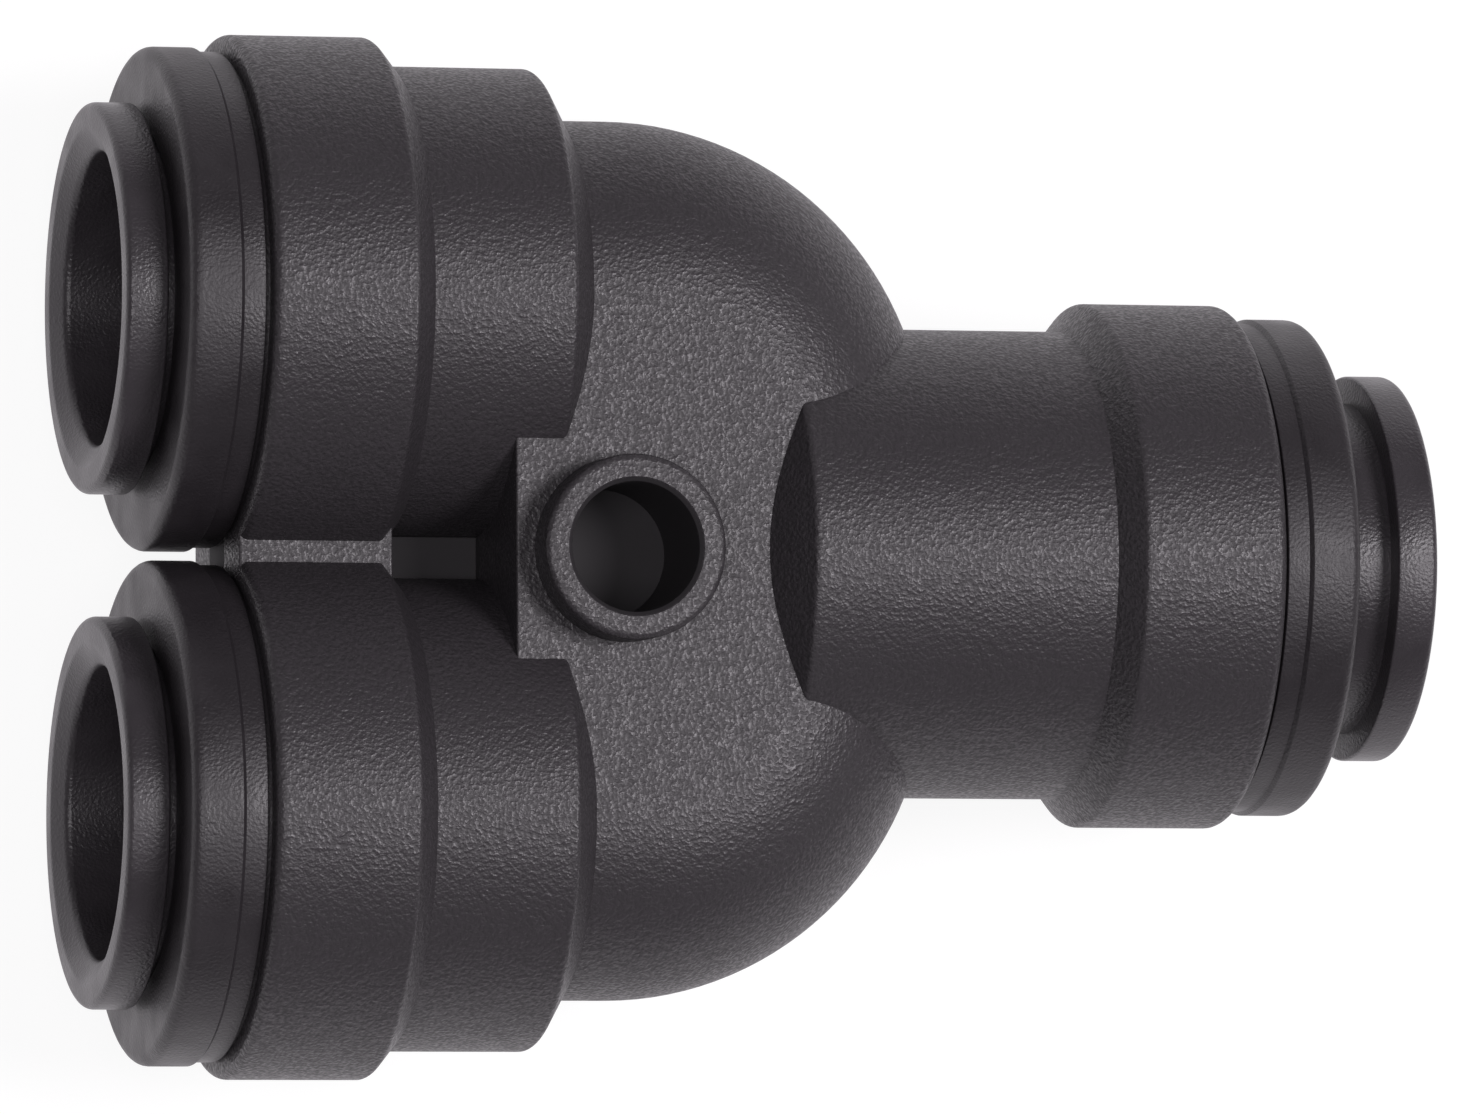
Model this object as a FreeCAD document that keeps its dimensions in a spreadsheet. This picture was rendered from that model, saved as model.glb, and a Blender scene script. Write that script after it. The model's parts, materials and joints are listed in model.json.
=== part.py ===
import FreeCAD, Part
import math
import os
import Sketcher

# Two-way divider for 12 mm push-in tubing, in millimetres.
# The stem port looks along +X and the two branch ports look along -X, side by side in Y.
# The port axes lie in the plane z = 0 and the origin is the middle of the part.

SIZES = {
    # where things are, measured from the axis of the mounting boss
    "boss_x": -6.99,            # the boss axis itself, from the middle of the part
    "branch_offset": 10.7,      # branch axes from the mid plane
    "branch_reach": 18.95,      # boss axis to the face of a branch end cap
    "stem_reach": 31.05,        # boss axis to the face of the stem end cap
    "bend_x": 1.02,             # boss axis to the centres of the two bends
    "tab_reach": 4.63,          # boss axis to the free edge of the plate
    # outside of a port, from its mouth inwards
    "mouth_radius": 11.05,
    "mouth_length": 6.05,
    "mouth_bevel": 0.25,
    "bevel_length": 0.97,
    "sleeve_radius": 9.86,
    "branch_sleeve_length": 6.03,
    "branch_shoulder_length": 1.24,
    "stem_sleeve_length": 12.94,
    "stem_shoulder_length": 2.03,
    # pipes, plate and ribs
    "pipe_radius": 7.72,
    "bend_radius": 6.1,
    "plate_dip": 0.03,          # crests of the pipes above the plate between them
    "rib_half": 4.12,
    "web_half": 0.65,
    "rib_depth": 2.6,           # how far rib and web run into the ports beside them
    "boss_radius": 3.85,
    "boss_height": 2.0,
    "boss_bevel": 0.2,
    "hole_radius": 2.7,
    "hole_depth": 6.0,
    "hole_bevel": 0.25,
    # inside of a port, from the face of its end cap inwards
    "seat_radius": 6.1,
    "seat_depth": 18.5,
    "seat_lead": 0.35,
    "passage_radius": 5.0,
    "spigot_radius": 9.3,
    "spigot_length": 5.0,
    "spigot_fit": 0.03,
    # end cap
    "cap_show": 3.4,            # what shows of the cap in front of the mouth
    "cap_radius": 10.5,
    "cap_ring_length": 2.1,
    "cap_rear_radius": 10.33,
    "cap_bevel": 0.3,
    "cap_lead": 0.25,
    "collet_clearance": 0.1,
    # collet, from the front of its flange inwards
    "flange_radius": 8.15,
    "flange_length": 1.76,
    "flange_bevel": 0.25,
    "lead_radius": 6.7,
    "lead_length": 0.45,
    "neck_radius": 7.0,
    "collet_length": 10.4,
    "head_radius": 7.9,
    "head_length": 2.0,
    "head_taper": 2.0,
    "head_clearance": 0.25,
    "finger_count": 8,
    "slot_start": 4.7,
    "slot_width": 0.9,
    # travel of a collet
    "travel": 2.2,
    "pressed_gap": 0.1,         # flange to end cap when it is pressed right in
    "branch_pressed": 1.88,     # how far the branch collets are pressed in
    "stem_pressed": 0.0,
    # grip teeth
    "tooth_place": 8.45,
    "tooth_root": 0.55,
    "tooth_root_radius": 6.9,
    "tooth_lean": 0.45,
    "tooth_tip_radius": 5.87,
    "tooth_gap": 1.7,           # gap between neighbouring teeth
    # sealing ring
    "ring_section": 1.15,       # radius of its section
    "ring_flats": 8,            # flats around its section
    "ring_inner_radius": 5.87,
    "ring_fit": 0.03,
    "ring_gap": 0.15,           # pressed collet to ring
}

Vector = FreeCAD.Vector
ALONG = Vector(1, 0, 0)
ACROSS = Vector(0, 1, 0)
UP = Vector(0, 0, 1)
INWARD = FreeCAD.Rotation()                 # along +X, the way into a branch
BACKWARD = FreeCAD.Rotation(UP, 180)        # along -X, the way into the stem
UPRIGHT = FreeCAD.Rotation(ACROSS, -90)     # along +Z
OVERRUN = 1.0                   # how far a cutting shape runs past what it cuts

doc = FreeCAD.newDocument("tubing_divider")


def add_sizes():
    sheet = doc.addObject("Spreadsheet::Sheet", "sizes")
    for row, (alias, number) in enumerate(SIZES.items(), start=1):
        sheet.set(f"A{row}", alias)
        sheet.set(f"B{row}", str(number))
        sheet.setAlias(f"B{row}", alias)
    doc.recompute()
    return sheet


def bind(target, **expressions):
    """Tie properties to the sheet; a double underscore in a name stands for a dot."""
    for name, expression in expressions.items():
        target.setExpression(name.replace("__", "."), expression)


def outline(name, points):
    """Closed sketch through points, each an expression for distance along X and one for distance
    out from it."""
    sketch = doc.addObject("Sketcher::SketchObject", name)
    count = len(points)
    angles = [2 * math.pi * i / count for i in range(count)]
    start = [Vector(4 + math.cos(angle), 4 + math.sin(angle), 0) for angle in angles]
    for i in range(count):
        sketch.addGeometry(Part.LineSegment(start[i], start[(i + 1) % count]))
    for i in range(count):
        sketch.addConstraint(Sketcher.Constraint("Coincident", i, 2, (i + 1) % count, 1))
    for i, (along, out) in enumerate(points):
        hold(sketch, "DistanceX", -2, i, start[i].x, along)
        hold(sketch, "DistanceY", -1, i, start[i].y, out)
    return sketch


def hold(sketch, kind, axis, line, guess, expression):
    """Hold the start of a line at a distance from the sketch's origin, or on its axis."""
    if expression == "0":
        sketch.addConstraint(Sketcher.Constraint("PointOnObject", line, 1, axis))
    else:
        place = sketch.addConstraint(Sketcher.Constraint(kind, -1, 1, line, 1, guess))
        sketch.setExpression(f"Constraints[{place}]", expression)


def turned(name, points):
    """Solid turned about the X axis from an outline."""
    solid = doc.addObject("Part::Revolution", name)
    solid.Source = outline(name + "_outline", points)
    solid.Axis = ALONG
    solid.Angle = 360
    solid.Solid = True
    return solid


def cylinder(name, radius, height, x="0", y="0", z="0", turn=None):
    solid = doc.addObject("Part::Cylinder", name)
    if turn:
        solid.Placement = FreeCAD.Placement(Vector(), turn)
    bind(solid, Radius=radius, Height=height)
    bind(solid, Placement__Base__x=x, Placement__Base__y=y, Placement__Base__z=z)
    return solid


def block(name, low_x, high_x, half_y, half_z):
    """Box from low_x to high_x, symmetric in Y and Z."""
    solid = doc.addObject("Part::Box", name)
    bind(solid, Length=f"{high_x} - ({low_x})", Width=f"2 * ({half_y})", Height=f"2 * ({half_z})")
    bind(solid, Placement__Base__x=low_x, Placement__Base__y=f"-({half_y})", Placement__Base__z=f"-({half_z})")
    return solid


def joined(name, pieces):
    solid = doc.addObject("Part::MultiFuse", name)
    solid.Shapes = pieces
    return solid


def cut(name, base, tool):
    solid = doc.addObject("Part::Cut", name)
    solid.Base = base
    solid.Tool = tool
    return solid


def mirrored(name, source):
    """Copy on the other side of the mid plane y = 0."""
    solid = doc.addObject("Part::Mirroring", name)
    solid.Source = source
    solid.Normal = ACROSS
    return solid


def placed(name, piece, x, y, z="0", turn=INWARD):
    """Copy of a piece that was made along X from the origin."""
    copy = doc.addObject("Part::Compound", name)
    copy.Links = [piece]
    copy.Placement = FreeCAD.Placement(Vector(), turn)
    bind(copy, Placement__Base__x=x, Placement__Base__y=y, Placement__Base__z=z)
    return copy


sheet = add_sizes()


def size(alias):
    return float(sheet.get(alias))


PORTS = {
    "branch_a": {
        "x": "sizes.boss_x - sizes.branch_reach", "y": "sizes.branch_offset", "turn": INWARD,
        "pressed": "sizes.branch_pressed",
    },
    "branch_b": {
        "x": "sizes.boss_x - sizes.branch_reach", "y": "-sizes.branch_offset", "turn": INWARD,
        "pressed": "sizes.branch_pressed",
    },
    "stem": {
        "x": "sizes.boss_x + sizes.stem_reach", "y": "0", "turn": BACKWARD,
        "pressed": "sizes.stem_pressed",
    },
}

MOUTH = "sizes.cap_show"
BRANCH_MOUTH = f"sizes.boss_x - sizes.branch_reach + {MOUTH}"
STEM_MOUTH = f"sizes.boss_x + sizes.stem_reach - {MOUTH}"
BEND_CENTRE = "sizes.boss_x + sizes.bend_x"
PIPE_LINE = f"{BEND_CENTRE} + sizes.bend_radius"
BEND_SIDE = "sizes.branch_offset - sizes.bend_radius"
PLATE_HALF = "sizes.pipe_radius - sizes.plate_dip"
BORE_RADIUS = "sizes.seat_radius"
CAP_BORE = "sizes.neck_radius + sizes.collet_clearance"
SPIGOT_BORE = "sizes.head_radius + sizes.head_clearance"
CONE_START = (
    "sizes.collet_length - sizes.head_length - sizes.head_taper"
    " - sizes.flange_length - sizes.travel - sizes.pressed_gap"
)
TIP_PRESSED = "sizes.collet_length - sizes.flange_length - sizes.pressed_gap"
RING_START = f"{TIP_PRESSED} + sizes.ring_gap"
RING_OUTER = "sizes.ring_inner_radius + 2 * sizes.ring_section"


def in_port(name, piece, port):
    """Copy of a piece that was made from the face of an end cap inwards, set in its port."""
    return placed(name, piece, port["x"], port["y"], turn=port["turn"])


def port_outside(name, sleeve_length, shoulder_length, run_on):
    """Stepped outside of a port, from its mouth to a plain end inside the pipework."""
    mouth_end = f"{MOUTH} + sizes.mouth_length"
    bevel_end = f"{mouth_end} + sizes.bevel_length"
    sleeve_end = f"{bevel_end} + {sleeve_length}"
    shoulder_end = f"{sleeve_end} + {shoulder_length}"
    return turned(name, [
        (MOUTH, "0"),
        (MOUTH, "sizes.mouth_radius - sizes.mouth_bevel"),
        (f"{MOUTH} + sizes.mouth_bevel", "sizes.mouth_radius"),
        (mouth_end, "sizes.mouth_radius"),
        (bevel_end, "sizes.sleeve_radius"),
        (sleeve_end, "sizes.sleeve_radius"),
        (shoulder_end, "sizes.pipe_radius"),
        (f"{shoulder_end} + {run_on}", "sizes.pipe_radius"),
        (f"{shoulder_end} + {run_on}", "0"),
    ])


def port_inside():
    """Stepped bore of a port: cap spigot, sealing ring, and tube seat down to its stop."""
    spigot_end = f"{MOUTH} + sizes.spigot_length + sizes.spigot_fit"
    ring_end = f"{RING_START} + 2 * sizes.ring_section + sizes.ring_fit"
    spigot_hole = "sizes.spigot_radius + sizes.spigot_fit"
    ring_hole = f"{RING_OUTER} + sizes.ring_fit"
    return turned("port_inside", [
        ("0", "0"),
        ("0", spigot_hole),
        (spigot_end, spigot_hole),
        (spigot_end, ring_hole),
        (ring_end, ring_hole),
        (ring_end, f"{BORE_RADIUS} + sizes.seat_lead"),
        (f"{ring_end} + sizes.seat_lead", BORE_RADIUS),
        ("sizes.seat_depth", BORE_RADIUS),
        ("sizes.seat_depth", "0"),
    ])


def bend_outside():
    """Quarter bend on the branch_a side, with the corner of the plate that fills it. It turns in
    less than the radius of its own pipe, so only the outer side of the ring is there."""
    crest = math.degrees(math.asin(1 - size("plate_dip") / size("pipe_radius")))
    bend = doc.addObject("Part::Feature", "bend_outside")
    bend.Shape = Part.makeTorus(size("bend_radius"), size("pipe_radius"), Vector(), UP, -crest, crest, 90)
    bind(bend, Placement__Base__x=BEND_CENTRE, Placement__Base__y=BEND_SIDE)
    return bend


def bend_inside():
    passage = doc.addObject("Part::Torus", "bend_inside")
    passage.Angle3 = 90
    bind(passage, Radius1="sizes.bend_radius", Radius2="sizes.passage_radius")
    bind(passage, Placement__Base__x=BEND_CENTRE, Placement__Base__y=BEND_SIDE)
    return passage


def plate_pieces():
    """Flat plate between the pipes, level with their crests."""
    tab_edge = "sizes.boss_x - sizes.tab_reach"
    return [
        block("plate_wide", tab_edge, BEND_CENTRE, "sizes.branch_offset", PLATE_HALF),
        block("plate_narrow", BEND_CENTRE, PIPE_LINE, BEND_SIDE, PLATE_HALF),
    ]


def rib_pieces():
    """Rib between the branch mouths and the thin web that carries on from it to the plate."""
    half_width = "sizes.branch_offset - sizes.sleeve_radius + sizes.rib_depth"
    rib_end = f"{BRANCH_MOUTH} + sizes.mouth_length + sizes.bevel_length / 2"
    return [
        block("mouth_rib", BRANCH_MOUTH, rib_end, half_width, "sizes.rib_half"),
        block("sleeve_web", rib_end, "sizes.boss_x - sizes.tab_reach / 2", half_width, "sizes.web_half"),
    ]


def make_boss():
    """Round boss on both faces of the plate, in one piece through it."""
    half = "sizes.pipe_radius + sizes.boss_height"
    post = turned("boss_post", [
        ("0", "0"),
        ("0", "sizes.boss_radius - sizes.boss_bevel"),
        ("sizes.boss_bevel", "sizes.boss_radius"),
        (f"2 * ({half}) - sizes.boss_bevel", "sizes.boss_radius"),
        (f"2 * ({half})", "sizes.boss_radius - sizes.boss_bevel"),
        (f"2 * ({half})", "0"),
    ])
    return placed("boss", post, "sizes.boss_x", "0", f"-({half})", UPRIGHT)


def boss_holes():
    """A blind hole from each side, with a small bevel at its rim."""
    top = "sizes.pipe_radius + sizes.boss_height"
    holes = []
    for side, sign in (("upper", 1), ("lower", -1)):
        turn = FreeCAD.Rotation(ALONG, 0 if sign > 0 else 180)
        floor = f"{sign} * ({top} - sizes.hole_depth)"
        hole = cylinder(
            side + "_hole", "sizes.hole_radius", f"sizes.hole_depth + {OVERRUN}", "sizes.boss_x", "0", floor, turn
        )
        bevel = doc.addObject("Part::Cone", side + "_hole_bevel")
        bevel.Placement = FreeCAD.Placement(Vector(), turn)
        bind(
            bevel, Radius1="sizes.hole_radius", Radius2="sizes.hole_radius + 2 * sizes.hole_bevel",
            Height="2 * sizes.hole_bevel", Placement__Base__x="sizes.boss_x",
            Placement__Base__z=f"{sign} * ({top} - sizes.hole_bevel)",
        )
        holes += [hole, bevel]
    return holes


def make_body():
    to_bend = "sizes.bend_x + sizes.branch_reach - sizes.cap_show - sizes.mouth_length - sizes.bevel_length"
    branch_run = f"{to_bend} - sizes.branch_sleeve_length - sizes.branch_shoulder_length"
    branch = port_outside("branch_outside", "sizes.branch_sleeve_length", "sizes.branch_shoulder_length", branch_run)
    stem = port_outside("stem_outside", "sizes.stem_sleeve_length", "sizes.stem_shoulder_length", OVERRUN)
    across = FreeCAD.Rotation(ALONG, 90)
    cross = cylinder(
        "cross_pipe", "sizes.pipe_radius", f"2 * ({BEND_SIDE})", PIPE_LINE, BEND_SIDE, "0", across
    )
    bend = bend_outside()
    outside = [
        in_port("branch_a_outside", branch, PORTS["branch_a"]),
        in_port("branch_b_outside", branch, PORTS["branch_b"]),
        in_port("stem_port_outside", stem, PORTS["stem"]),
        bend, mirrored("bend_outside_b", bend), cross, make_boss(),
    ]
    outside += plate_pieces() + rib_pieces()

    bore = port_inside()
    bend_passage = bend_inside()
    to_x = FreeCAD.Rotation(ACROSS, 90)
    branch_passage = cylinder(
        "branch_passage", "sizes.passage_radius", f"{BEND_CENTRE} - ({BRANCH_MOUTH})",
        BRANCH_MOUTH, "sizes.branch_offset", "0", to_x,
    )
    stem_passage = cylinder(
        "stem_passage", "sizes.passage_radius", f"{STEM_MOUTH} - ({PIPE_LINE})", PIPE_LINE, "0", "0", to_x,
    )
    cross_passage = cylinder(
        "cross_passage", "sizes.passage_radius", f"2 * ({BEND_SIDE})", PIPE_LINE, BEND_SIDE, "0", across
    )
    inside = [in_port(name + "_bore", bore, port) for name, port in PORTS.items()]
    inside += [
        bend_passage, mirrored("bend_inside_b", bend_passage),
        branch_passage, mirrored("branch_passage_b", branch_passage),
        stem_passage, cross_passage,
    ]
    inside += boss_holes()
    return cut("body", joined("body_outside", outside), joined("body_inside", inside))


def make_end_cap():
    """Ring that closes a port: a grip ring in front, a plain ring, and a spigot in the body.
    Its cone squeezes the collet on the tube when the collet is drawn out."""
    spigot_end = f"{MOUTH} + sizes.spigot_length"
    cone_end = f"{CONE_START} + sizes.head_taper * (sizes.head_clearance + sizes.head_radius"
    cone_end += " - sizes.neck_radius - sizes.collet_clearance) / (sizes.head_radius - sizes.neck_radius)"
    return turned("end_cap", [
        ("0", f"{CAP_BORE} + sizes.cap_lead"),
        ("0", "sizes.cap_radius - sizes.cap_bevel"),
        ("sizes.cap_bevel", "sizes.cap_radius"),
        ("sizes.cap_ring_length", "sizes.cap_radius"),
        ("sizes.cap_ring_length", "sizes.cap_rear_radius"),
        (MOUTH, "sizes.cap_rear_radius"),
        (MOUTH, "sizes.spigot_radius"),
        (spigot_end, "sizes.spigot_radius"),
        (spigot_end, SPIGOT_BORE),
        (cone_end, SPIGOT_BORE),
        (CONE_START, CAP_BORE),
        ("sizes.cap_lead", CAP_BORE),
    ])


def make_collet():
    """Flanged sleeve, slit into fingers whose heads have a cone outside and a tooth inside."""
    head_start = "sizes.collet_length - sizes.head_length"
    taper_start = f"{head_start} - sizes.head_taper"
    sleeve = turned("collet_sleeve", [
        ("0", "sizes.lead_radius"),
        ("0", "sizes.flange_radius - sizes.flange_bevel"),
        ("sizes.flange_bevel", "sizes.flange_radius"),
        ("sizes.flange_length - sizes.flange_bevel", "sizes.flange_radius"),
        ("sizes.flange_length", "sizes.flange_radius - sizes.flange_bevel"),
        ("sizes.flange_length", "sizes.neck_radius"),
        (taper_start, "sizes.neck_radius"),
        (head_start, "sizes.head_radius"),
        ("sizes.collet_length", "sizes.head_radius"),
        ("sizes.collet_length", BORE_RADIUS),
        ("sizes.lead_length", BORE_RADIUS),
    ])
    slots = joined("collet_slots", slot_cutters("collet_slot", "sizes.slot_width"))
    seat = turned("tooth_seat", tooth_outline())
    return cut("collet", cut("collet_fingers", sleeve, slots), seat)


def slot_cutters(name, width):
    """One cutter for each gap between the fingers, out from the axis."""
    cutters = []
    for number in range(int(size("finger_count"))):
        angle = f"({number} * 360 / sizes.finger_count)"
        cutter = doc.addObject("Part::Box", f"{name}_{number + 1}")
        bind(
            cutter, Length=f"sizes.collet_length - sizes.slot_start + {OVERRUN}", Width=width,
            Height=f"sizes.head_radius + {OVERRUN}",
            Placement__Base__x="sizes.slot_start",
            Placement__Base__y=f"-({width}) / 2 * cos({angle})",
            Placement__Base__z=f"-({width}) / 2 * sin({angle})",
        )
        cutter.Placement = FreeCAD.Placement(
            cutter.Placement.Base, FreeCAD.Rotation(ALONG, number * 360 / size("finger_count"))
        )
        cutters.append(cutter)
    return cutters


def tooth_outline():
    """Section of a tooth: a wedge with its sharp edge leaning into the port."""
    return [
        ("sizes.tooth_place", "sizes.tooth_root_radius"),
        ("sizes.tooth_place + sizes.tooth_root", "sizes.tooth_root_radius"),
        ("sizes.tooth_place + sizes.tooth_root + sizes.tooth_lean", "sizes.tooth_tip_radius"),
    ]


def make_teeth():
    """One tooth in each finger head: a sharp ring, cut away at the slots."""
    ring = turned("tooth_ring", tooth_outline())
    gaps = joined("tooth_gaps", slot_cutters("tooth_gap", "sizes.tooth_gap"))
    return cut("grip_teeth", ring, gaps)


def make_ring():
    """Sealing ring, its round section drawn with flats."""
    corner = "sizes.ring_section / cos(180 / sizes.ring_flats)"
    points = []
    for number in range(int(size("ring_flats"))):
        angle = f"({number} + 0.5) * 360 / sizes.ring_flats"
        points.append((
            f"{RING_START} + sizes.ring_section + {corner} * cos({angle})",
            f"sizes.ring_inner_radius + sizes.ring_section + {corner} * sin({angle})",
        ))
    return turned("o_ring", points)


def build():
    pieces = {"body": make_body()}
    end_cap = make_end_cap()
    collet = make_collet()
    teeth = make_teeth()
    ring = make_ring()
    for name, port in PORTS.items():
        # a collet is made from the front of its flange, which stands out of the cap
        flange = f"(sizes.flange_length + sizes.pressed_gap + sizes.travel - {port['pressed']})"
        sign = "+" if port["turn"] == BACKWARD else "-"
        front = dict(port, x=f"{port['x']} {sign} {flange}")
        for piece_name, piece, where in (
            ("end_cap", end_cap, port),
            ("collet", collet, front),
            ("grip_teeth", teeth, front),
            ("o_ring", ring, port),
        ):
            label = f"{name}_{piece_name}"
            pieces[label] = in_port(label, piece, where)
    return pieces


def check(pieces):
    doc.recompute()
    for item in doc.Objects:
        if "Invalid" in item.State or "Error" in item.State:
            raise RuntimeError(f"{item.Label} did not build: {item.State}")
    for name, piece in pieces.items():
        if piece.Shape.isNull() or not piece.Shape.isValid():
            raise RuntimeError(f"{name} has no valid shape")


pieces = build()
check(pieces)
os.makedirs("parts", exist_ok=True)
for name, piece in pieces.items():
    piece.Label = name
    piece.Shape.exportStep(f"parts/{name}.step")
    box = piece.Shape.BoundBox
    print(
        f"{name}: {len(piece.Shape.Solids)} solids, {piece.Shape.Volume:.1f} mm3, "
        f"x {box.XMin:.2f}..{box.XMax:.2f}, y {box.YMin:.2f}..{box.YMax:.2f}, z {box.ZMin:.2f}..{box.ZMax:.2f}"
    )
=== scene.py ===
import json
from math import cos, pi, radians, sin, tan

import bmesh
import bpy
from mathutils import Matrix, Vector

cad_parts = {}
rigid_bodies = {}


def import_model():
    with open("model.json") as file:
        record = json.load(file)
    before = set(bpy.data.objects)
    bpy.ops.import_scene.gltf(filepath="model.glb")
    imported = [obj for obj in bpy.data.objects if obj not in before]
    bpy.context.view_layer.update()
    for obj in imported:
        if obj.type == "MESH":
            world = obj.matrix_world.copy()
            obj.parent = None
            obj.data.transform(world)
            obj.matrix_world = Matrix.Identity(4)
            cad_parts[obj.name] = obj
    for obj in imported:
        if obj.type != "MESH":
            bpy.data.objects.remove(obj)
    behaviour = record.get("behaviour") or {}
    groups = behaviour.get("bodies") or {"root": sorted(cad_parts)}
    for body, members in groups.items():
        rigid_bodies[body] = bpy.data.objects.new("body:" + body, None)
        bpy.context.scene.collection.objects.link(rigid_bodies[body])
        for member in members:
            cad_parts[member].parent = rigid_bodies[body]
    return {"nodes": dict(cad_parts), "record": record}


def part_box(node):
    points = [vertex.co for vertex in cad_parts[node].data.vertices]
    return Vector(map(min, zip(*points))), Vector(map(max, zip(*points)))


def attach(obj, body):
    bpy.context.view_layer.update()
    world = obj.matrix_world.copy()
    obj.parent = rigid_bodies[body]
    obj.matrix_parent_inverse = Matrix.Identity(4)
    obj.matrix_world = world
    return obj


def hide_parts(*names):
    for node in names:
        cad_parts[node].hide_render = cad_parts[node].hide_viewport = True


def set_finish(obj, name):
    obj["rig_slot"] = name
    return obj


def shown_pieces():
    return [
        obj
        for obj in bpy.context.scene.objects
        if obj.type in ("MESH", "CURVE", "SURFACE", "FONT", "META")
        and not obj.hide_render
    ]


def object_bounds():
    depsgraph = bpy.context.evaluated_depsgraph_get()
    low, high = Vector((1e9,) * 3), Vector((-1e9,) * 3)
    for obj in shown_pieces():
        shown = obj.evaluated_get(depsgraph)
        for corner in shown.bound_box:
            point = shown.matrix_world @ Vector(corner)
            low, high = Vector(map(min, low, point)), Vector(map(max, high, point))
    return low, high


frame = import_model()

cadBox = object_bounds()
nodes = frame["nodes"]
mounts = {mount["name"]: mount for mount in frame["record"]["mounts"]}
mm = 0.001
print("frame loaded:", len(nodes), "pieces")


# Shapes

meshing = {
    "around": 144,          # faces round a turned piece
    "perRound": 6,          # faces along the round of a corner
    "perEdge": 3,           # faces across a rounded edge of a slab
    "core": 0.05 * mm,      # radius at which the closed end of a turned piece starts
    "overlap": 1 * mm,      # how far pieces run into each other, and tools past a face
    "weld": 1e-7,           # points this close become one
    "sharpAngle": 24,       # degrees; steeper edges stay sharp
    "shadeWeight": 60,      # pull of the large faces on the shading
}


def pieceFrom(name, mesh):
    data = bpy.data.meshes.new(name)
    mesh.to_mesh(data)
    mesh.free()
    piece = bpy.data.objects.new(name, data)
    bpy.context.scene.collection.objects.link(piece)
    return piece


def joinRings(mesh, first, second):
    for i in range(len(first)):
        j = (i + 1) % len(first)
        mesh.faces.new((first[i], first[j], second[j], second[i]))


def solidFromRings(rings, loop=False):
    # each ring is a list of points; neighbouring rings are joined, and open ends are closed
    mesh = bmesh.new()
    rows = [[mesh.verts.new(point) for point in ring] for ring in rings]
    for first, second in zip(rows, rows[1:]):
        joinRings(mesh, first, second)
    if loop:
        joinRings(mesh, rows[-1], rows[0])
    else:
        mesh.faces.new(reversed(rows[0]))
        mesh.faces.new(rows[-1])
    bmesh.ops.remove_doubles(mesh, verts=mesh.verts, dist=meshing["weld"])
    bmesh.ops.recalc_face_normals(mesh, faces=mesh.faces)
    return mesh


def roundAngles(count):
    return [2 * pi * i / count for i in range(count)]


def withRounds(corners, loop):
    # corners are (along, out, round); a corner with no round stays sharp
    line = []
    for i, (along, out, radius) in enumerate(corners):
        here = Vector((along, out))
        atEnd = not loop and i in (0, len(corners) - 1)
        if radius == 0 or atEnd:
            line.append(here)
            continue
        toLast = (Vector(corners[i - 1][:2]) - here).normalized()
        toNext = (Vector(corners[(i + 1) % len(corners)][:2]) - here).normalized()
        half = toLast.angle(toNext) / 2
        centre = here + (toLast + toNext).normalized() * radius / sin(half)
        start = here + toLast * radius / tan(half) - centre
        sweep = start.angle_signed(here + toNext * radius / tan(half) - centre)
        for step in range(meshing["perRound"] + 1):
            angle = -sweep * step / meshing["perRound"]
            x = start.x * cos(angle) - start.y * sin(angle)
            y = start.x * sin(angle) + start.y * cos(angle)
            line.append(centre + Vector((x, y)))
    return line


def turned(name, corners, start, along, loop=True):
    # solid turned about an axis that starts at a point and runs along a direction
    along = Vector(along).normalized()
    side = along.orthogonal().normalized()
    other = along.cross(side)
    spokes = [side * cos(angle) + other * sin(angle) for angle in roundAngles(meshing["around"])]
    rings = []
    for distance, radius in withRounds(corners, loop):
        middle = Vector(start) + along * distance
        rings.append([middle + spoke * radius for spoke in spokes])
    return pieceFrom(name, solidFromRings(rings, loop))


def slab(name, outline, halfHeight, edge):
    # flat plate with a small round on its edges
    mesh = solidFromRings([[(x, y, z) for x, y in outline] for z in (-halfHeight, halfHeight)])
    bmesh.ops.bevel(
        mesh, geom=mesh.edges[:], offset=edge, offset_type="OFFSET",
        segments=meshing["perEdge"], profile=0.5, affect="EDGES"
    )
    return pieceFrom(name, mesh)


def combine(piece, tool, operation):
    step = piece.modifiers.new(operation, "BOOLEAN")
    step.operation = operation
    step.object = tool
    step.solver = "EXACT"
    bpy.context.view_layer.update()
    shape = bpy.data.meshes.new_from_object(piece.evaluated_get(bpy.context.evaluated_depsgraph_get()))
    shape.name = piece.name
    piece.modifiers.clear()
    piece.data = shape
    bpy.data.objects.remove(tool)


def smoothFaces(piece):
    piece.data.shade_smooth()
    piece.data.set_sharp_from_angle(angle=radians(meshing["sharpAngle"]))
    even = piece.modifiers.new("even shading", "WEIGHTED_NORMAL")
    even.keep_sharp = True
    even.weight = meshing["shadeWeight"]


# Ports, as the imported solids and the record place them

def portLine(name):
    # where the axis of a port meets the face of its end cap, and the way in from there
    inward = -Vector(mounts[name + "_port"]["axis"])
    low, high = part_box(name + "_end_cap")
    face = low.x if inward.x > 0 else high.x
    return Vector((face, mounts[name + "_port"]["pos_m"][1], 0)), inward


ports = {name: portLine(name) for name in ("branch_a", "branch_b", "stem")}
print("ports:", {name: tuple(round(v, 5) for v in start) for name, (start, inward) in ports.items()})


# Body

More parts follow.
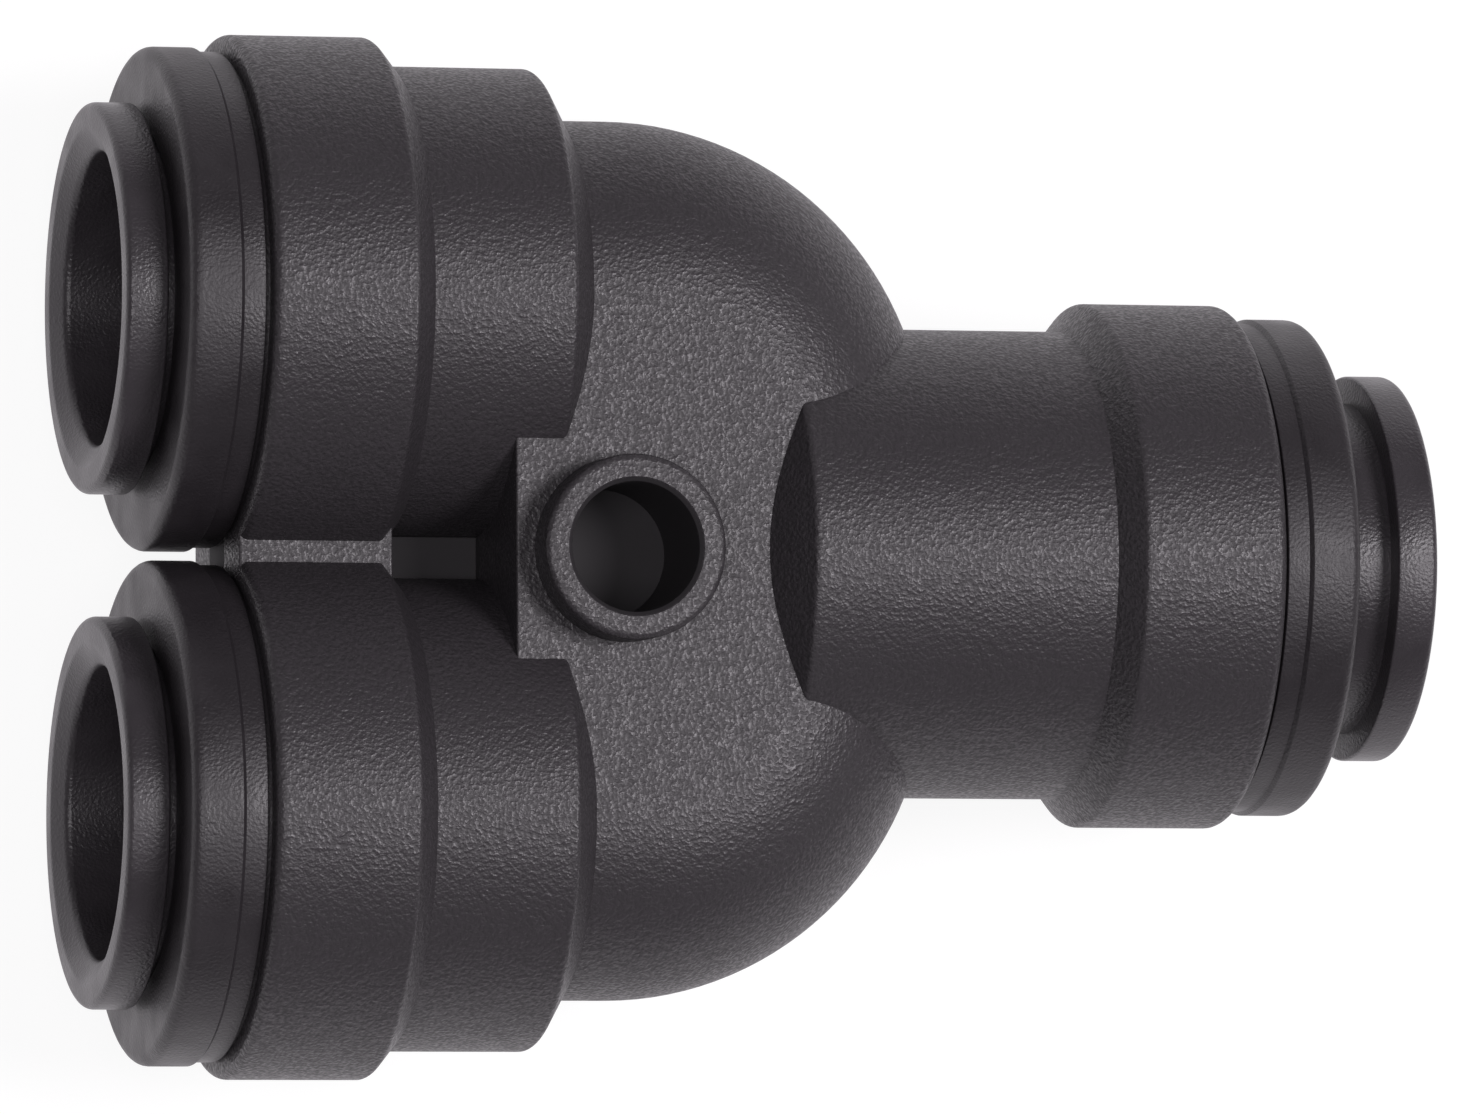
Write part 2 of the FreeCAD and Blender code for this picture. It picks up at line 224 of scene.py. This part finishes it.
bodySizes = {
    "capShow": 3.4 * mm,            # cap in front of the mouth
    "mouthRadius": 11.05 * mm,
    "mouthLength": 6.05 * mm,
    "mouthRound": 0.4 * mm,
    "mouthLip": 0.12 * mm,          # round on the inner rim of the mouth
    "bevelLength": 0.97 * mm,
    "sleeveRadius": 9.86 * mm,
    "sleeveRound": 0.3 * mm,
    "branchSleeve": 6.03 * mm,
    "branchShoulder": 1.24 * mm,
    "stemSleeve": 12.94 * mm,
    "stemShoulder": 1.5 * mm,
    "pipeRadius": 7.72 * mm,
    "bendRadius": 6.1 * mm,
    "bendCentre": 1.02 * mm,        # from the boss axis, along X
    "tabReach": 4.63 * mm,          # from the boss axis to the free edge of the plate
    "plateHalf": 7.715 * mm,
    "edge": 0.12 * mm,              # round on the edges of plate, rib and web
    "ribHalf": 4.12 * mm,
    "webHalf": 0.65 * mm,
    "ribDepth": 2.6 * mm,
    "bossRadius": 3.85 * mm,
    "bossHeight": 2.0 * mm,
    "bossRound": 0.3 * mm,
    "holeDepth": 6.0 * mm,
    "holeLead": 0.2 * mm,           # slope at the mouth of a hole
    "holeRound": 0.12 * mm,
    "spigotHole": 9.33 * mm,        # inside of a port, from the face of its end cap
    "spigotEnd": 8.43 * mm,
    "ringHole": 8.2 * mm,
    "ringEnd": 11.02 * mm,
    "seatLead": 0.35 * mm,
    "seatDepth": 18.5 * mm,
    "passageRadius": 5.0 * mm,
    "bendSteps": 32,                # rings along a bend
}


def branchWay(b):
    # centre line of the pipe from branch_a to branch_b, as pairs of a centre and its outer side
    start, inward = ports["branch_a"]
    corner = Vector((mounts["upper_boss_hole"]["pos_m"][0] + b["bendCentre"], start.y - b["bendRadius"], 0))
    way = []
    for step in range(b["bendSteps"] + 1):
        angle = pi / 2 * step / b["bendSteps"]
        side = Vector((sin(angle), cos(angle), 0))
        way.append((corner + side * b["bendRadius"], side))
    return way + [(Vector((c.x, -c.y, 0)), Vector((s.x, -s.y, 0))) for c, s in reversed(way)]


def branchRing(centre, side, radius, innerReach=None):
    # innerReach stops the inner side of a ring at the axis that the bend turns about
    ring = []
    for angle in roundAngles(meshing["around"]):
        across = radius * cos(angle)
        if innerReach is not None:
            across = max(across, -innerReach)
        ring.append(centre + side * across + Vector((0, 0, radius * sin(angle))))
    return ring


def throughBranches(name, profile, pipeRadius, innerReach=None):
    # one solid from mouth to mouth: the profile of a port, the two bends and the pipe between them
    rings = []
    for port, mirrorSide in (("branch_a", 1), ("branch_b", -1)):
        start, inward = ports[port]
        side = Vector((0, mirrorSide, 0))
        straight = [branchRing(start + inward * along, side, out) for along, out in profile]
        if innerReach is not None:
            along, out = profile[-1]
            straight.append(branchRing(start + inward * along, side, out, innerReach))
        rings.append(straight)
    bends = [branchRing(centre, side, pipeRadius, innerReach) for centre, side in branchWay(bodySizes)]
    return pieceFrom(name, solidFromRings(rings[0] + bends + rings[1][::-1]))


def outsideProfile(sleeveLength, shoulderLength):
    b = bodySizes
    mouthEnd = b["capShow"] + b["mouthLength"]
    bevelEnd = mouthEnd + b["bevelLength"]
    sleeveEnd = bevelEnd + sleeveLength
    shoulderEnd = sleeveEnd + shoulderLength
    return [
        (b["capShow"], meshing["core"], 0),
        (b["capShow"], b["mouthRadius"], b["mouthRound"]),
        (mouthEnd, b["mouthRadius"], b["sleeveRound"]),
        (bevelEnd, b["sleeveRadius"], 0),
        (sleeveEnd, b["sleeveRadius"], b["sleeveRound"]),
        (shoulderEnd, b["pipeRadius"], 0),
    ]


def insideProfile():
    b = bodySizes
    seat = mounts["stem_port"]["dims"]["r_mm"] * mm
    return [
        (b["capShow"] - meshing["overlap"], b["spigotHole"] + b["mouthLip"], 0),
        (b["capShow"], b["spigotHole"] + b["mouthLip"], 0),
        (b["capShow"] + b["mouthLip"], b["spigotHole"], 0),
        (b["spigotEnd"], b["spigotHole"], 0),
        (b["spigotEnd"], b["ringHole"], 0),
        (b["ringEnd"], b["ringHole"], 0),
        (b["ringEnd"], seat + b["seatLead"], 0),
        (b["ringEnd"] + b["seatLead"], seat, 0),
        (b["seatDepth"], seat, 0),
        (b["seatDepth"], b["passageRadius"], 0),
    ]


def makeBody():
    b = bodySizes
    overlap, core = meshing["overlap"], meshing["core"]
    bossX = mounts["upper_boss_hole"]["pos_m"][0]
    hole = mounts["upper_boss_hole"]["dims"]["r_mm"] * mm
    branchY = ports["branch_a"][0].y
    tabX = bossX - b["tabReach"]
    pipeX = bossX + b["bendCentre"] + b["bendRadius"]

    outside = withRounds(outsideProfile(b["branchSleeve"], b["branchShoulder"]), loop=False)
    body = throughBranches("moulded_body", outside, b["pipeRadius"], b["bendRadius"])

    stemStart, stemIn = ports["stem"]
    stemCorners = outsideProfile(b["stemSleeve"], b["stemShoulder"])
    stemCorners.append((stemCorners[-1][0] + overlap, b["pipeRadius"], 0))
    combine(body, turned("stem_outside", stemCorners, stemStart, stemIn, loop=False), "UNION")

    # the plate fills the two bends up to the crest of the pipe
    crest = [centre for centre, side in branchWay(b)]
    plateOutline = [(tabX, branchY)] + [(point.x, point.y) for point in crest] + [(tabX, -branchY)]
    combine(body, slab("plate", plateOutline, b["plateHalf"], b["edge"]), "UNION")

    mouthX = ports["branch_a"][0].x + b["capShow"]
    ribEnd = mouthX + b["mouthLength"] + b["bevelLength"] / 2
    ribSide = branchY - b["sleeveRadius"] + b["ribDepth"]
    for name, lowX, highX, half in (
        ("mouth_rib", mouthX, ribEnd, b["ribHalf"]),
        ("sleeve_web", ribEnd - overlap, tabX + 2 * overlap, b["webHalf"]),
    ):
        outline = [(lowX, -ribSide), (highX, -ribSide), (highX, ribSide), (lowX, ribSide)]
        combine(body, slab(name, outline, half, b["edge"]), "UNION")

    top = b["pipeRadius"] + b["bossHeight"]
    bossCorners = [
        (0, core, 0), (0, b["bossRadius"], b["bossRound"]),
        (2 * top, b["bossRadius"], b["bossRound"]), (2 * top, core, 0),
    ]
    combine(body, turned("boss", bossCorners, (bossX, 0, -top), (0, 0, 1), loop=False), "UNION")

    inside = withRounds(insideProfile(), loop=False)
    combine(body, throughBranches("branch_bores", inside, b["passageRadius"]), "DIFFERENCE")
    stemBore = insideProfile() + [(stemStart.x - pipeX, b["passageRadius"], 0)]
    combine(body, turned("stem_bore", stemBore, stemStart, stemIn, loop=False), "DIFFERENCE")
    rim = hole + b["holeLead"]
    holeCorners = [
        (-overlap, rim, 0), (0, rim, 0),
        (b["holeLead"], hole, b["holeRound"]), (b["holeDepth"], hole, 0),
    ]
    for side in (1, -1):
        tool = turned("boss_hole", holeCorners, (bossX, 0, side * top), (0, 0, -side), loop=False)
        combine(body, tool, "DIFFERENCE")
    smoothFaces(body)
    return body


body = makeBody()
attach(body, "body")
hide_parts("body")
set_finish(body, "body_plastic")
print("body:", len(body.data.polygons), "faces")


# End caps

capSizes = {
    "radius": 10.5 * mm,
    "round": 0.5 * mm,
    "ringLength": 2.1 * mm,
    "ringSlope": 0.16 * mm,
    "ringRound": 0.06 * mm,
    "groove": 0.22 * mm,        # fine groove between cap and mouth
    "grooveRadius": 10.0 * mm,
    "rearRadius": 10.33 * mm,
    "spigotRadius": 9.3 * mm,
    "spigotLength": 5.0 * mm,
    "bore": 7.1 * mm,
    "boreRound": 0.25 * mm,
    "headBore": 8.15 * mm,
    "coneStart": 2.34 * mm,
    "coneEnd": 4.673 * mm,
}


def makeEndCap(port):
    c = capSizes
    start, inward = ports[port]
    mouth = bodySizes["capShow"]
    spigotEnd = mouth + c["spigotLength"]
    return turned(port + "_grip_cap", [
        (0, c["bore"], c["boreRound"]),
        (0, c["radius"], c["round"]),
        (c["ringLength"], c["radius"], c["ringRound"]),
        (c["ringLength"] + c["ringSlope"], c["rearRadius"], 0),
        (mouth - c["groove"], c["rearRadius"], c["ringRound"]),
        (mouth - c["groove"], c["grooveRadius"], 0),
        (mouth, c["grooveRadius"], 0),
        (mouth, c["spigotRadius"], 0),
        (spigotEnd, c["spigotRadius"], c["ringRound"]),
        (spigotEnd, c["headBore"], c["ringRound"]),
        (c["coneEnd"], c["headBore"], 0),
        (c["coneStart"], c["bore"], 0),
    ], start, inward)


# Collets

colletSizes = {
    "length": 10.4 * mm,
    "flangeRadius": 8.15 * mm,
    "flangeLength": 1.76 * mm,
    "frontRound": 0.32 * mm,
    "backRound": 0.12 * mm,
    "neckRadius": 7.0 * mm,
    "headRadius": 7.9 * mm,
    "headLength": 2.0 * mm,
    "headTaper": 2.0 * mm,
    "bore": 6.1 * mm,
    "leadWidth": 0.95 * mm,         # shallow lip that eases the tube into the bore
    "leadDepth": 0.5 * mm,
    "leadRound": 0.4 * mm,
    "fingers": 8,
    "slotStart": 4.7 * mm,
    "slotWidth": 0.9 * mm,
    "toothPlace": 8.45 * mm,
    "toothRoot": 0.55 * mm,
    "toothRootRadius": 6.9 * mm,
    "toothLean": 0.45 * mm,
    "toothTip": 5.87 * mm,
}


def slotTool(c, start, inward):
    # one block for each gap between the fingers
    mesh = bmesh.new()
    near, far = c["slotStart"], c["length"] + meshing["overlap"]
    low, high = c["toothTip"] - meshing["overlap"], c["headRadius"] + meshing["overlap"]
    for angle in roundAngles(c["fingers"]):
        out = Vector((0, cos(angle), sin(angle)))
        across = inward.cross(out) * c["slotWidth"] / 2
        corners = [
            mesh.verts.new(start + inward * along + out * reach + across * hand)
            for along in (near, far) for reach in (low, high) for hand in (-1, 1)
        ]
        for quad in ((0, 1, 3, 2), (4, 5, 7, 6), (0, 1, 5, 4), (2, 3, 7, 6), (0, 2, 6, 4), (1, 3, 7, 5)):
            mesh.faces.new([corners[i] for i in quad])
    bmesh.ops.recalc_face_normals(mesh, faces=mesh.faces)
    return pieceFrom("collet_slots", mesh)


def makeCollet(port):
    c = colletSizes
    axisStart, inward = ports[port]
    low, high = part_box(port + "_collet")
    start = Vector((low.x if inward.x > 0 else high.x, axisStart.y, 0))
    headStart = c["length"] - c["headLength"]
    # the seat of the teeth: a groove in the bore that leans as they do
    wall = c["toothRootRadius"] - c["toothTip"]
    down = (c["toothRootRadius"] - c["bore"]) / wall
    nearAtBore = c["toothPlace"] + (c["toothRoot"] + c["toothLean"]) * down
    farAtBore = c["toothPlace"] + c["toothRoot"] + c["toothLean"] * down
    collet = turned(port + "_release_collet", [
        (c["leadDepth"], c["bore"], c["leadRound"]),
        (0, c["bore"] + c["leadWidth"], c["leadRound"]),
        (0, c["flangeRadius"], c["frontRound"]),
        (c["flangeLength"], c["flangeRadius"], c["backRound"]),
        (c["flangeLength"], c["neckRadius"], 0),
        (headStart - c["headTaper"], c["neckRadius"], 0),
        (headStart, c["headRadius"], c["backRound"]),
        (c["length"], c["headRadius"], c["backRound"]),
        (c["length"], c["bore"], c["backRound"]),
        (farAtBore, c["bore"], 0),
        (c["toothPlace"] + c["toothRoot"], c["toothRootRadius"], 0),
        (c["toothPlace"], c["toothRootRadius"], 0),
        (nearAtBore, c["bore"], 0),
    ], start, inward)
    combine(collet, slotTool(c, start, inward), "DIFFERENCE")
    return collet


# Sealing rings

ringSizes = {
    "section": 1.15 * mm,
    "inner": 5.87 * mm,
    "sectionSteps": 24,
}


def makeRing(port):
    r = ringSizes
    axisStart, inward = ports[port]
    low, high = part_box(port + "_o_ring")
    middle = Vector(((low.x + high.x) / 2, axisStart.y, 0))
    corners = []
    for angle in roundAngles(r["sectionSteps"]):
        corners.append((r["section"] * cos(angle), r["inner"] + r["section"] * (1 + sin(angle)), 0))
    return turned(port + "_seal", corners, middle, inward)


for port in ports:
    for make, node, rides, slot in (
        (makeEndCap, "_end_cap", "body", "cap_plastic"),
        (makeCollet, "_collet", port + "_collet", "collet_plastic"),
        (makeRing, "_o_ring", "body", "seal_rubber"),
    ):
        piece = make(port)
        smoothFaces(piece)
        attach(piece, rides)
        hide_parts(port + node)
        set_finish(piece, slot)
    print(port, "cap, collet and seal made")


# Finishes

def newFinish(name):
    finish = bpy.data.materials.new(name)
    finish.use_nodes = True
    shader = finish.node_tree.nodes["Principled BSDF"]
    return finish, finish.node_tree, shader


def addNode(tree, kind, **settings):
    node = tree.nodes.new(kind)
    for key, value in settings.items():
        if key in node.inputs:
            node.inputs[key].default_value = value
        else:
            setattr(node, key, value)
    return node


def noiseField(tree, scale, detail, roughness=0.5):
    place = addNode(tree, "ShaderNodeTexCoord")
    noise = addNode(tree, "ShaderNodeTexNoise", Scale=scale, Detail=detail, Roughness=roughness)
    tree.links.new(place.outputs["Object"], noise.inputs["Vector"])
    return noise.outputs["Fac"]


def spread(tree, field, span, result):
    # the span of a field becomes the result, and what lies beyond is held at its ends
    step = addNode(tree, "ShaderNodeMapRange")
    step.inputs["From Min"].default_value, step.inputs["From Max"].default_value = span
    step.inputs["To Min"].default_value, step.inputs["To Max"].default_value = result
    tree.links.new(field, step.inputs["Value"])
    return step.outputs["Result"]


def mixColours(tree, factor, dark, light):
    mix = addNode(tree, "ShaderNodeMix", data_type="RGBA")
    mix.inputs["A"].default_value = (*dark, 1)
    mix.inputs["B"].default_value = (*light, 1)
    tree.links.new(factor, mix.inputs["Factor"])
    return mix.outputs["Result"]


def relief(tree, field, height, below=None):
    bump = addNode(tree, "ShaderNodeBump", Distance=height)
    bump.inputs["Strength"].default_value = 1
    tree.links.new(field, bump.inputs["Height"])
    if below is not None:
        tree.links.new(below, bump.inputs["Normal"])
    return bump.outputs["Normal"]


sparkTexture = {
    # the first colour is the darkest grain tone, and also painted shade in the boss holes and along the
    # middle between the branches
    "darkAndShaded": (0.0185, 0.0166, 0.0185),
    "light": (0.0395, 0.0355, 0.0395),
    "darkGrain": 0.28,          # shade of the dark grains, where the first colour is 0 and light is 1
    "shadeSpan": (0.35, 0.68),  # of the grain's noise, from dark grains to light ones
    "grain": 6000,              # waves in a metre, as for all noise here
    "grainDetail": 1,
    "grainHeight": 0.052 * mm,
    "swell": 2200,
    "swellDetail": 2,
    "swellHeight": 0.03 * mm,
    "specular": 0.5,
    "rough": (0.54, 0.35),      # between the grains and on them
    "roughSpan": (0.38, 0.66),
    "shadedCoreRadius": 2.85 * mm,    # painted shade: the plain dark colour, smooth and with a high roughness, within this of the boss axis, in the holes of the bosses
    "shadedWebRadius": 1.4 * mm,      # painted shade too, smooth as well, along the middle between the branches
    "smoothRough": 0.7,
    "smoothHeight": 0.5,        # middle of the noise
}


def awayFrom(tree, point, across, radius):
    # 0 near a line through a point and 1 elsewhere
    place = addNode(tree, "ShaderNodeTexCoord")
    flat = addNode(tree, "ShaderNodeVectorMath", operation="MULTIPLY")
    flat.inputs[1].default_value = across
    apart = addNode(tree, "ShaderNodeVectorMath", operation="DISTANCE")
    apart.inputs[1].default_value = point
    outside = addNode(tree, "ShaderNodeMath", operation="GREATER_THAN")
    outside.inputs[1].default_value = radius
    tree.links.new(place.outputs["Object"], flat.inputs[0])
    tree.links.new(flat.outputs["Vector"], apart.inputs[0])
    tree.links.new(apart.outputs["Value"], outside.inputs[0])
    return outside.outputs[0]


def smoothWhere(tree, field, mask, plain):
    # the field where the mask is 1, and a plain value where it is 0
    step = addNode(tree, "ShaderNodeMapRange")
    step.inputs["To Min"].default_value = plain
    tree.links.new(mask, step.inputs["Value"])
    tree.links.new(field, step.inputs["To Max"])
    return step.outputs["Result"]


def makeSparkTexture():
    s = sparkTexture
    finish, tree, shader = newFinish("spark textured black plastic")
    # painted shade: in the boss holes and along the middle between the branches the colour is held at the
    # plain dark one, with no grain and a high roughness
    shadedHoles = awayFrom(tree, (mounts["upper_boss_hole"]["pos_m"][0], 0, 0), (1, 1, 0), s["shadedCoreRadius"])
    web = awayFrom(tree, (0, 0, 0), (0, 1, 1), s["shadedWebRadius"])
    mask = smoothWhere(tree, shadedHoles, web, 0)
    grain = noiseField(tree, s["grain"], s["grainDetail"])
    swell = noiseField(tree, s["swell"], s["swellDetail"])
    # grain tone, held at 0, the darkest colour, in the painted shade
    shade = smoothWhere(tree, spread(tree, grain, s["shadeSpan"], (s["darkGrain"], 1)), mask, 0)
    colour = mixColours(tree, shade, s["darkAndShaded"], s["light"])
    rough = smoothWhere(tree, spread(tree, grain, s["roughSpan"], s["rough"]), mask, s["smoothRough"])
    soft = relief(tree, smoothWhere(tree, swell, mask, s["smoothHeight"]), s["swellHeight"])
    normal = relief(tree, smoothWhere(tree, grain, mask, s["smoothHeight"]), s["grainHeight"], soft)
    shader.inputs["Specular IOR Level"].default_value = s["specular"]
    tree.links.new(colour, shader.inputs["Base Color"])
    tree.links.new(rough, shader.inputs["Roughness"])
    tree.links.new(normal, shader.inputs["Normal"])
    return finish


satinPlastic = {
    "capDark": (0.018, 0.0155, 0.0178),
    "capLight": (0.023, 0.020, 0.0228),
    "colletDark": (0.031, 0.0277, 0.031),
    "colletLight": (0.040, 0.0357, 0.040),
    "shadeSpan": (0.3, 0.7),
    "mottle": 7400,
    "mottleDetail": 1.5,
    "mottleRoughness": 0.45,
    "mottleHeight": 0.028 * mm,
    "swell": 420,
    "swellDetail": 2,
    "specular": 0.5,
    "capRough": (0.4, 0.5),
    "colletRough": (0.33, 0.41),
    "roughSpan": (0.35, 0.65),
}


def makeSatinPlastic(name, piece):
    s = satinPlastic
    finish, tree, shader = newFinish(name)
    mottle = noiseField(tree, s["mottle"], s["mottleDetail"], s["mottleRoughness"])
    swell = noiseField(tree, s["swell"], s["swellDetail"])
    shade = spread(tree, swell, s["shadeSpan"], (0, 1))
    colour = mixColours(tree, shade, s[piece + "Dark"], s[piece + "Light"])
    rough = spread(tree, swell, s["roughSpan"], s[piece + "Rough"])
    shader.inputs["Specular IOR Level"].default_value = s["specular"]
    tree.links.new(colour, shader.inputs["Base Color"])
    tree.links.new(rough, shader.inputs["Roughness"])
    tree.links.new(relief(tree, mottle, s["mottleHeight"]), shader.inputs["Normal"])
    return finish


sealRubber = {
    "dark": (0.012, 0.012, 0.012),
    "light": (0.020, 0.020, 0.020),
    "bloom": 700,
    "bloomDetail": 3,
    "roughness": 0.6,
}


def makeSealRubber():
    s = sealRubber
    finish, tree, shader = newFinish("black seal rubber")
    bloom = noiseField(tree, s["bloom"], s["bloomDetail"])
    shader.inputs["Roughness"].default_value = s["roughness"]
    tree.links.new(mixColours(tree, bloom, s["dark"], s["light"]), shader.inputs["Base Color"])
    return finish


toothSteel = {
    "dark": (0.48, 0.48, 0.47),
    "light": (0.66, 0.66, 0.65),
    "streaks": 3000,
    "streakDetail": 2,
    "rough": (0.22, 0.4),
    "roughSpan": (0.3, 0.7),
}


def makeToothSteel():
    s = toothSteel
    finish, tree, shader = newFinish("stamped steel")
    streaks = noiseField(tree, s["streaks"], s["streakDetail"])
    shader.inputs["Metallic"].default_value = 1
    tree.links.new(mixColours(tree, streaks, s["dark"], s["light"]), shader.inputs["Base Color"])
    tree.links.new(spread(tree, streaks, s["roughSpan"], s["rough"]), shader.inputs["Roughness"])
    return finish


finishes = {
    "body_plastic": makeSparkTexture(),
    "cap_plastic": makeSatinPlastic("satin black cap plastic", "cap"),
    "collet_plastic": makeSatinPlastic("satin black collet plastic", "collet"),
    "seal_rubber": makeSealRubber(),
    "tooth_steel": makeToothSteel(),
}
slotOfNode = {part["node"]: part["material_slot"] for part in frame["record"]["subparts"]}
for name, node in nodes.items():
    node.data.materials.clear()
    node.data.materials.append(finishes[slotOfNode[name]])
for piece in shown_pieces():
    if "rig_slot" in piece:
        piece.data.materials.clear()
        piece.data.materials.append(finishes[piece["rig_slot"]])
print("finishes set")


# Table and backdrop

studio = {
    "middle": 0.001,        # radius of the table's middle face
    "tableRadius": 1.6,
    "wallRadius": 2.6,
    "wallHeight": 1.3,
    "curveSteps": 12,       # rings from the table up to the wall
    "around": 96,
    "paper": (0.82, 0.82, 0.82),
    "seenWhite": 0.9,       # glow of the paper to the camera
    "seenPaper": 0.15,      # grey of it that still takes the shadow
    "light": (1.0, 0.955, 1.0),     # faint tint of the lamps, the room and the reflected paper
    "tableGlow": 0.88,      # what a reflection sees of the table and of the wall
    "wallGlow": 0.22,
    "wallStart": 0.05,      # share of the wall's height where its own glow begins
    "roomLight": 0.1,
}


def whitePaper():
    # plain paper that lights the part; the camera, reflections and clear pieces see it glow
    s = studio
    finish, tree, shader = newFinish("white paper")
    tree.nodes.remove(shader)
    output = tree.nodes["Material Output"]
    rays = addNode(tree, "ShaderNodeLightPath")
    plain = addNode(tree, "ShaderNodeBsdfDiffuse", Color=(*s["paper"], 1))
    faint = addNode(tree, "ShaderNodeBsdfDiffuse", Color=(s["seenPaper"],) * 3 + (1,))
    place = addNode(tree, "ShaderNodeTexCoord")
    parts = addNode(tree, "ShaderNodeSeparateXYZ")
    tree.links.new(place.outputs["Generated"], parts.inputs[0])
    reflected = spread(tree, parts.outputs["Z"], (0, s["wallStart"]), (s["tableGlow"], s["wallGlow"]))
    strength = addNode(tree, "ShaderNodeMapRange")
    tree.links.new(reflected, strength.inputs["To Min"])
    strength.inputs["To Max"].default_value = s["seenWhite"]
    tree.links.new(rays.outputs["Is Camera Ray"], strength.inputs["Value"])
    glow = addNode(tree, "ShaderNodeEmission")
    glowColour = mixColours(tree, rays.outputs["Is Camera Ray"], s["light"], (1, 1, 1))
    tree.links.new(glowColour, glow.inputs["Color"])
    tree.links.new(strength.outputs["Result"], glow.inputs["Strength"])
    seen = addNode(tree, "ShaderNodeAddShader")
    tree.links.new(faint.outputs[0], seen.inputs[0])
    tree.links.new(glow.outputs[0], seen.inputs[1])
    isSeen = rays.outputs["Is Camera Ray"]
    for kind in ("Is Glossy Ray", "Is Transmission Ray"):
        either = addNode(tree, "ShaderNodeMath", operation="MAXIMUM")
        tree.links.new(isSeen, either.inputs[0])
        tree.links.new(rays.outputs[kind], either.inputs[1])
        isSeen = either.outputs[0]
    choose = addNode(tree, "ShaderNodeMixShader")
    tree.links.new(isSeen, choose.inputs["Fac"])
    tree.links.new(plain.outputs[0], choose.inputs[1])
    tree.links.new(seen.outputs[0], choose.inputs[2])
    tree.links.new(choose.outputs[0], output.inputs["Surface"])
    return finish


def makeStudio():
    s = studio
    height = cadBox[0].z
    line = [(s["middle"], 0), (s["tableRadius"], 0)]
    curve = s["wallRadius"] - s["tableRadius"]
    for step in range(1, s["curveSteps"] + 1):
        angle = pi / 2 * step / s["curveSteps"]
        line.append((s["tableRadius"] + curve * sin(angle), curve * (1 - cos(angle))))
    line.append((s["wallRadius"], s["wallHeight"]))
    mesh = bmesh.new()
    rows = []
    for radius, rise in line:
        rows.append([
            mesh.verts.new((radius * cos(angle), radius * sin(angle), height + rise))
            for angle in roundAngles(s["around"])
        ])
    for first, second in zip(rows, rows[1:]):
        joinRings(mesh, first, second)
    mesh.faces.new(rows[0])
    backdrop = pieceFrom("backdrop", mesh)
    backdrop.data.shade_smooth()
    backdrop.data.materials.append(whitePaper())
    return backdrop


makeStudio()
print("table and backdrop made")


# Camera, from the photograph's view of the part

camera = {
    "yaw": 14.841,              # degrees, towards the branch mouths
    "pitch": 3.566,
    "roll": 0.327,
    "distance": 647.1 * mm,
    "aimRight": 6.72 * mm,      # middle of the view, from the boss axis
    "aimUp": 0.15 * mm,
    "lens": 376.2,              # in millimetres, and so is the sensor's width
    "sensorWidth": 36,
}


def viewAxes(c):
    yaw, pitch, roll = (radians(c[key]) for key in ("yaw", "pitch", "roll"))
    level = Vector((cos(yaw), 0, sin(yaw)))
    away = Vector((-sin(yaw), 0, cos(yaw)))
    upward = cos(pitch) * Vector((0, 1, 0)) + sin(pitch) * away
    back = -sin(pitch) * Vector((0, 1, 0)) + cos(pitch) * away
    right = cos(roll) * level - sin(roll) * upward
    up = sin(roll) * level + cos(roll) * upward
    return right, up, back


def makeCamera(c):
    right, up, back = viewAxes(c)
    aim = Vector((mounts["upper_boss_hole"]["pos_m"][0], 0, 0)) + c["aimRight"] * right + c["aimUp"] * up
    data = bpy.data.cameras.new("camera")
    data.lens = c["lens"]
    data.sensor_width = c["sensorWidth"]
    eye = bpy.data.objects.new("camera", data)
    bpy.context.scene.collection.objects.link(eye)
    eye.rotation_euler = Matrix((right, up, back)).transposed().to_euler()
    eye.location = aim + back * c["distance"]
    bpy.context.scene.camera = eye


makeCamera(camera)


# Lamps

lamps = {
    # direction from the part, distance, size of the soft box and strength
    "key": {"from": (0.52, 0.03, 1.0), "distance": 0.9, "size": 0.34, "watts": 5.3},
    "front": {"from": (-0.32, -0.06, 0.94), "distance": 1.0, "size": 0.5, "watts": 3.4},
}


def makeLamp(name, lamp):
    data = bpy.data.lights.new(name, "AREA")
    data.shape = "DISK"
    data.size = lamp["size"]
    data.energy = lamp["watts"]
    data.color = studio["light"]
    light = bpy.data.objects.new(name, data)
    bpy.context.scene.collection.objects.link(light)
    direction = Vector(lamp["from"]).normalized()
    light.location = direction * lamp["distance"]
    light.rotation_euler = direction.to_track_quat("Z", "Y").to_euler()


for name, lamp in lamps.items():
    makeLamp(name, lamp)

world = bpy.data.worlds.new("room")
bpy.context.scene.world = world
world.use_nodes = True
roomLight = world.node_tree.nodes["Background"]
roomLight.inputs["Color"].default_value = (*studio["light"], 1)
roomLight.inputs["Strength"].default_value = studio["roomLight"]
bpy.context.scene.view_settings.view_transform = "Standard"
print("camera and lamps set")
